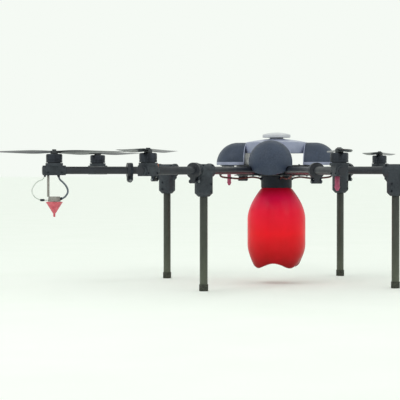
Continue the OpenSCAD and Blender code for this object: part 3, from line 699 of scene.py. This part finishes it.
def make_spray_head(side, k):
    """Hose, motor cable and their ferrules, and the spinning cup with its stepped cone."""
    body = f"arm_{k}"
    feed = along_arm(k, FEED_ROUTE, motor_radius)
    cable = along_arm(k, CABLE_ROUTE, motor_radius)
    tube_piece(f"{side}_liquid_hose", feed, HOSE_R, body, "hose_dark", replaces=(f"{side}_feed_hose",))
    tube_piece(f"{side}_motor_cable", cable, CABLE_R, body, "hose_dark", material="cable_pale")
    ends = bmesh.new()
    collar_ring(ends, feed[0], feed[1] - feed[0], 4.4 * MM, 8 * MM)
    collar_ring(ends, feed[-1], feed[-1] - feed[-2], 4.4 * MM, 9 * MM)
    collar_ring(ends, cable[0], cable[1] - cable[0], 3 * MM, 8 * MM)
    collar_ring(ends, cable[-2], cable[-1] - cable[-2], 3.6 * MM, 16 * MM)
    new_piece(f"{side}_hose_ferrules", ends, body, "moulded_dark", material="anodised_dark")
    lo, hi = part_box(f"{side}_spray_cup")
    top, low, r = hi.z, lo.z, (hi.x - lo.x) / 2 - 0.2 * MM
    profile = [(0, top - 11 * MM), (2.6 * MM, top - 11 * MM), (2.6 * MM, top - 0.2 * MM),
               (r - 4 * MM, top - 0.2 * MM), (r - 0.6 * MM, top - 0.6 * MM), (r, top - 1.4 * MM),
               (r, top - 3.6 * MM)]
    cone_low = low + 14 * MM
    steps = 9
    for i in range(steps):
        share = i / steps
        edge = r - 1 * MM - (r - 7 * MM) * share
        z = top - 4 * MM - (top - 4 * MM - cone_low) * share
        profile += [(edge, z), (edge - 0.9 * MM, z - 0.9 * MM)]
    profile += [(6 * MM, cone_low), (4 * MM, cone_low - 1 * MM), (4 * MM, low + 2 * MM), (2.6 * MM, low), (0, low)]
    bm = turned(profile, 64)
    at = motor_at[k]
    bmesh.ops.translate(bm, verts=bm.verts, vec=(at.x, at.y, 0))
    new_piece(f"{side}_spray_cup_turned", bm, f"{side}_cup", "cup_red", replaces=(f"{side}_spray_cup",))


def make_hub_hoses():
    """Silicone hoses from the collar to the four spraying arms, with ties. The first replaces the CAD's node."""
    ties = bmesh.new()
    for k in (1, 3, 5, 7):
        points = along_arm(k, HOSE_ROUTE, 0.0)
        tube_piece(f"liquid_hose_{k}", points, HOSE_R, "airframe", "hose_red",
                   replaces=("hub_hoses",) if k == 1 else ())
        collar_ring(ties, points[0], points[1] - points[0], 4.6 * MM, 9 * MM, 1.2 * MM)
        collar_ring(ties, points[-1], points[-1] - points[-2], 4.6 * MM, 6 * MM, 1.2 * MM)
        collar_ring(ties, points[5], points[6] - points[4], 3.9 * MM, 4 * MM, 0.5 * MM)
    new_piece("hose_ties", ties, "airframe", "moulded_black")


# ---------------------------------------------------------------- fasteners and lamps

def bolt_head(bm, matrix, r, h):
    """A screw head with a round recess and a rounded rim."""
    head = bmesh.new()
    bmesh.ops.create_cone(head, cap_ends=True, segments=24, radius1=r, radius2=r, depth=h)
    bmesh.ops.translate(head, verts=head.verts, vec=(0, 0, h / 2))
    top = max(head.faces, key=lambda f: f.calc_center_median().z)
    bmesh.ops.inset_region(head, faces=[top], thickness=r * 0.42)
    bmesh.ops.translate(head, verts=top.verts, vec=(0, 0, -h * 0.55))
    rim = [e for e in head.edges if e.calc_face_angle(0) > 1.0 and all(v.co.z > h * 0.9 for v in e.verts)]
    rounded(head, rim, r * 0.12)
    bmesh.ops.transform(head, matrix=matrix, verts=head.verts)
    merge_in(bm, head)


SIDEWAYS = {side: Matrix.Rotation(-side * math.pi / 2, 4, "X") for side in (-1, 1)}


# Screw places in mm from the arm's axis, and the screw heads' radius and height
LEG_RADIUS = 500 * MM
SLEEVE_SCREWS = {"out": (-30, 30), "side": 17, "up": 17, "head": (3.6, 4)}
SOCKET_SCREWS = {"side": 31.4, "up": (-48, -74), "head": (3.6, 3.6)}
MOUNT_SCREWS = {"out": (-26, 26), "side": 19.7, "up": -8, "head": (3, 3)}


def screw(bm, k, place, tilt, head):
    """One screw on arm k, at (out, side, up) in metres, its head tilted from upright."""
    out, side, up = place
    seat = on_arm(k, out, up) @ Matrix.Translation((0, side, 0)) @ tilt
    bolt_head(bm, seat, head[0] * MM, head[1] * MM)


def make_fasteners():
    """Screws that the leg sockets and the motor mounts are drawn up with."""
    bm = bmesh.new()
    for k in LEG_ARMS:
        for side in (-1, 1):
            for x in SLEEVE_SCREWS["out"]:
                place = (LEG_RADIUS + x * MM, side * SLEEVE_SCREWS["side"] * MM, SLEEVE_SCREWS["up"] * MM)
                screw(bm, k, place, Matrix.Rotation(-side * math.radians(45), 4, "X"), SLEEVE_SCREWS["head"])
            for z in SOCKET_SCREWS["up"]:
                place = (LEG_RADIUS, side * SOCKET_SCREWS["side"] * MM, z * MM)
                screw(bm, k, place, SIDEWAYS[side], SOCKET_SCREWS["head"])
    new_piece("leg_socket_screws", bm, "airframe", "steel", material="anodised_dark")
    for k in ARMS:
        bm = bmesh.new()
        for x in MOUNT_SCREWS["out"]:
            for side in (-1, 1):
                place = (motor_radius + x * MM, side * MOUNT_SCREWS["side"] * MM, MOUNT_SCREWS["up"] * MM)
                screw(bm, k, place, SIDEWAYS[side], MOUNT_SCREWS["head"])
        new_piece(f"mount_screws_{k}", bm, f"arm_{k}", "steel", material="anodised_dark")


LAMP_HALF_SIZE = (6 * MM, 13 * MM, 11 * MM)
LAMP_IN = 43 * MM
LAMP_UP = 16 * MM


def make_lamps():
    """Small lens at the inner end of each front mount: amber on the left, rose on the right."""
    for k, tint in ((6, "lens_amber"), (7, "lens_rose")):
        bm = bmesh.new()
        bmesh.ops.create_uvsphere(bm, u_segments=32, v_segments=16, radius=1.0)
        bmesh.ops.scale(bm, vec=LAMP_HALF_SIZE, verts=bm.verts)
        bmesh.ops.transform(bm, matrix=on_arm(k, motor_radius - LAMP_IN, LAMP_UP), verts=bm.verts)
        new_piece(f"front_lamp_{k}", bm, f"arm_{k}", "nozzle_red", material=tint)


# ---------------------------------------------------------------- build

# Width in mm of the rounding on each softened node's hard edges
SOFT_EDGES = {
    "leg_sockets": 1.6, "fold_brackets": 0.8, "arm_root_clamps": 0.9, "hub_plates": 0.4, "top_shell": 1.2,
    "side_caps": 1.0, "nose_pod": 1.0, "gnss_antenna": 1.6, "flight_controller": 1.2, "tank_collar": 1.2,
    "pump": 1.2, "leg_feet": 1.4, "leg_tubes": 0.4, "battery": 3.0, "left_atomiser": 0.8, "right_atomiser": 0.8,
    "front_nozzle": 1.0, "rear_nozzle": 1.0,
}
for node, edge in SOFT_EDGES.items():
    refined(node, edge, slot_of[node])
for k in ARMS:
    refined(f"motor_mount_{k}", 1.0, slot_of[f"motor_mount_{k}"])
    refined(f"outer_arm_{k}", 0.7, slot_of[f"outer_arm_{k}"])
    make_bell(k)
    make_propeller(k)
make_tank()
make_filler()
make_spray_head("left", 5)
make_spray_head("right", 1)
make_hub_hoses()
make_fasteners()
make_lamps()


# ---------------------------------------------------------------- stage

def make_camera():
    """Camera 6.4 m away, a little to the right of the nose and level with the arms."""
    distance, azimuth, height, lens_mm = 6.4, math.radians(8.3), 0.441, 152.7
    aim_left, aim_down = math.radians(2.58), math.radians(1.148)
    data = bpy.data.cameras.new("camera")
    data.sensor_width = 36
    data.lens = lens_mm
    cam = bpy.data.objects.new("camera", data)
    bpy.context.scene.collection.objects.link(cam)
    cam.location = (distance * math.sin(azimuth), -distance * math.cos(azimuth), height)
    heading = math.pi / 2 + azimuth + aim_left
    look = Vector((math.cos(heading) * math.cos(aim_down), math.sin(heading) * math.cos(aim_down),
                   -math.sin(aim_down)))
    cam.rotation_mode = "QUATERNION"
    cam.rotation_quaternion = look.to_track_quat("-Z", "Y")
    bpy.context.scene.camera = cam


LIT_POINT = (0, 0, 0.4)


def make_light(name, size, power, place):
    """A white disc light that faces the middle of the machine."""
    data = bpy.data.lights.new(name, "AREA")
    data.shape = "DISK"
    data.size = size
    data.energy = power
    lamp = bpy.data.objects.new(name, data)
    bpy.context.scene.collection.objects.link(lamp)
    lamp.location = place
    lamp.rotation_mode = "QUATERNION"
    lamp.rotation_quaternion = (Vector(LIT_POINT) - Vector(place)).to_track_quat("-Z", "Y")


def make_stage():
    """Pale floor, even pale sky, and two soft lights."""
    bm = bmesh.new()
    bmesh.ops.create_grid(bm, x_segments=4, y_segments=4, size=60)
    mesh = bpy.data.meshes.new("floor")
    bm.to_mesh(mesh)
    bm.free()
    floor = bpy.data.objects.new("floor", mesh)
    bpy.context.scene.collection.objects.link(floor)
    mesh.materials.append(MATERIALS["floor"])
    world = bpy.data.worlds.new("sky")
    world.use_nodes = True
    sky = world.node_tree.nodes["Background"]
    sky.inputs["Color"].default_value = linear("#f5faf4")
    sky.inputs["Strength"].default_value = 1.0
    bpy.context.scene.world = world
    bpy.context.scene.view_settings.view_transform = "Standard"
    make_light("key", 1.0, 24, (-2.0, -3.0, 4.0))
    make_light("fill", 1.5, 8, (3.5, -2.5, 2.5))


make_camera()
make_stage()
